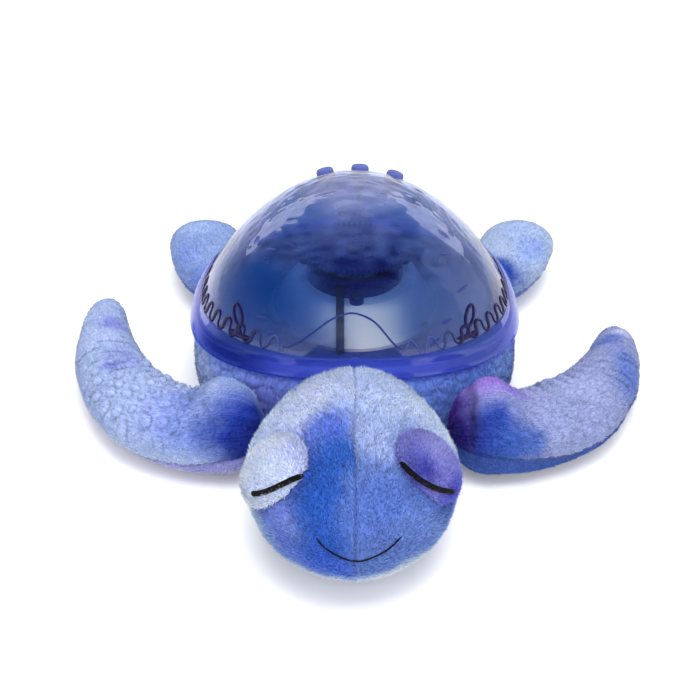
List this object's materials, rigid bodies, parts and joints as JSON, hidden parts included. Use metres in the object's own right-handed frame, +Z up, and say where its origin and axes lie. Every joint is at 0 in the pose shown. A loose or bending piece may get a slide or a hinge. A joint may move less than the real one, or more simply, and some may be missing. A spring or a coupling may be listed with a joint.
{
  "type": "plush night light projector",
  "caption": "Plush sea turtle night light: stuffed head, body and flippers round a clear domed shell with push buttons and a motor-driven ripple projector inside.",
  "frame": {"origin": "middle of the floor area that the toy covers, on the face it rests on", "axes": "+Z up, the head points to -Y, +X to the right of a viewer who faces the head"},
  "size_m": [0.329, 0.3532, 0.134],
  "materials": {
    "shell_blue": "clear",
    "button_blue": "satin",
    "tray_white": "satin",
    "tower_navy": "satin",
    "skirt_ivory": "satin",
    "disc_clear": "clear",
    "gear_white": "satin",
    "steel": "brushed",
    "nickel": "plated",
    "board_green": "coated",
    "chip_black": "matt",
    "lamp_clear": "clear",
    "speaker_black": "matt",
    "cell_wrap": "film",
    "sleeve_black": "matt",
    "lead_red": "matt",
    "plush_blue": "short pile",
    "plush_violet": "short pile",
    "plush_lavender": "short pile"
  },
  "bodies": {
    "base": {"dome_shell": "shell_blue", "base_tray": "tray_white", "deck_plate": "tower_navy", "lamp_base": "skirt_ivory", "lamp_tower": "tower_navy", "disc_spider": "tower_navy", "disc_retainer": "nickel", "gear_motor": "steel", "motor_bracket": "tray_white", "led_board": "board_green", "leds": "lamp_clear", "main_board": "board_green", "board_components": "chip_black", "speaker_frame": "steel", "speaker_cone": "speaker_black", "speaker_magnet": "steel", "battery_cells": "cell_wrap", "battery_springs": "nickel", "battery_contacts": "nickel", "button_bracket": "tray_white", "tact_switches": "chip_black", "wire_sleeve": "sleeve_black", "inner_leads": "lead_red", "dome_screws": "steel", "deck_screws": "steel", "lamp_screws": "steel", "tower_screws": "steel", "board_screws": "steel", "motor_screws": "steel", "speaker_screws": "steel", "bracket_screws": "steel", "body_plush": "plush_blue", "head_plush": "plush_blue", "eyelid_left": "plush_lavender", "eyelid_right": "plush_violet"},
    "button_left": {"button_left": "button_blue"},
    "button_centre": {"button_centre": "button_blue"},
    "button_right": {"button_right": "button_blue"},
    "disc": {"ripple_disc": "disc_clear"},
    "pinion": {"drive_pinion": "gear_white", "motor_shaft": "steel"},
    "front_flipper_left": {"front_flipper_left": "plush_blue"},
    "front_flipper_right": {"front_flipper_right": "plush_violet"},
    "rear_flipper_left": {"rear_flipper_left": "plush_lavender"},
    "rear_flipper_right": {"rear_flipper_right": "plush_lavender"},
    "battery_door": {"battery_door": "tray_white"},
    "door_screw": {"door_screw": "steel"}
  },
  "joints": [
    {"name": "button_left_press", "type": "slide", "parent": "base", "child": "button_left", "axis": [0.2359, -0.4916, -0.8383], "range_m": [0, 0.0008], "stiffness_N_per_m": 500},
    {"name": "button_centre_press", "type": "slide", "parent": "base", "child": "button_centre", "axis": [-0.0442, -0.5063, -0.8612], "range_m": [0, 0.0008], "stiffness_N_per_m": 500},
    {"name": "button_right_press", "type": "slide", "parent": "base", "child": "button_right", "axis": [-0.3142, -0.4801, -0.819], "range_m": [0, 0.0008], "stiffness_N_per_m": 500},
    {"name": "disc_spin", "type": "hinge", "parent": "base", "child": "disc", "pos_m": [-0.002, 0.035, 0.088], "axis": [0, 0, 1], "continuous": true},
    {"name": "pinion_spin", "type": "hinge", "parent": "base", "child": "pinion", "pos_m": [-0.002, 0.0701, 0.088], "axis": [0, 0, 1], "continuous": true},
    {"name": "front_flipper_left_lift", "type": "hinge", "parent": "base", "child": "front_flipper_left", "pos_m": [-0.073, -0.048, 0.0236], "axis": [0.8699, 0.4931, 0], "range_deg": [0, 25]},
    {"name": "front_flipper_right_lift", "type": "hinge", "parent": "base", "child": "front_flipper_right", "pos_m": [0.071, -0.048, 0.0236], "axis": [0.8114, -0.5845, 0], "range_deg": [0, 25]},
    {"name": "rear_flipper_left_lift", "type": "hinge", "parent": "base", "child": "rear_flipper_left", "pos_m": [-0.076, 0.102, 0.02], "axis": [0.9598, 0.2808, 0], "range_deg": [0, 20]},
    {"name": "rear_flipper_right_lift", "type": "hinge", "parent": "base", "child": "rear_flipper_right", "pos_m": [0.072, 0.102, 0.02], "axis": [0.9145, -0.4045, 0], "range_deg": [0, 20]},
    {"name": "battery_door_lift", "type": "slide", "parent": "base", "child": "battery_door", "axis": [0, 0, -1], "range_m": [0, 0.04]},
    {"name": "door_screw_turn", "type": "hinge", "parent": "battery_door", "child": "door_screw", "pos_m": [-0.002, 0.0924, 0.0058], "axis": [0, 0, 1], "continuous": true}
  ],
  "couplings": [
    {"joint": "pinion_spin", "follows": "disc_spin", "ratio": -2.8889}
  ]
}
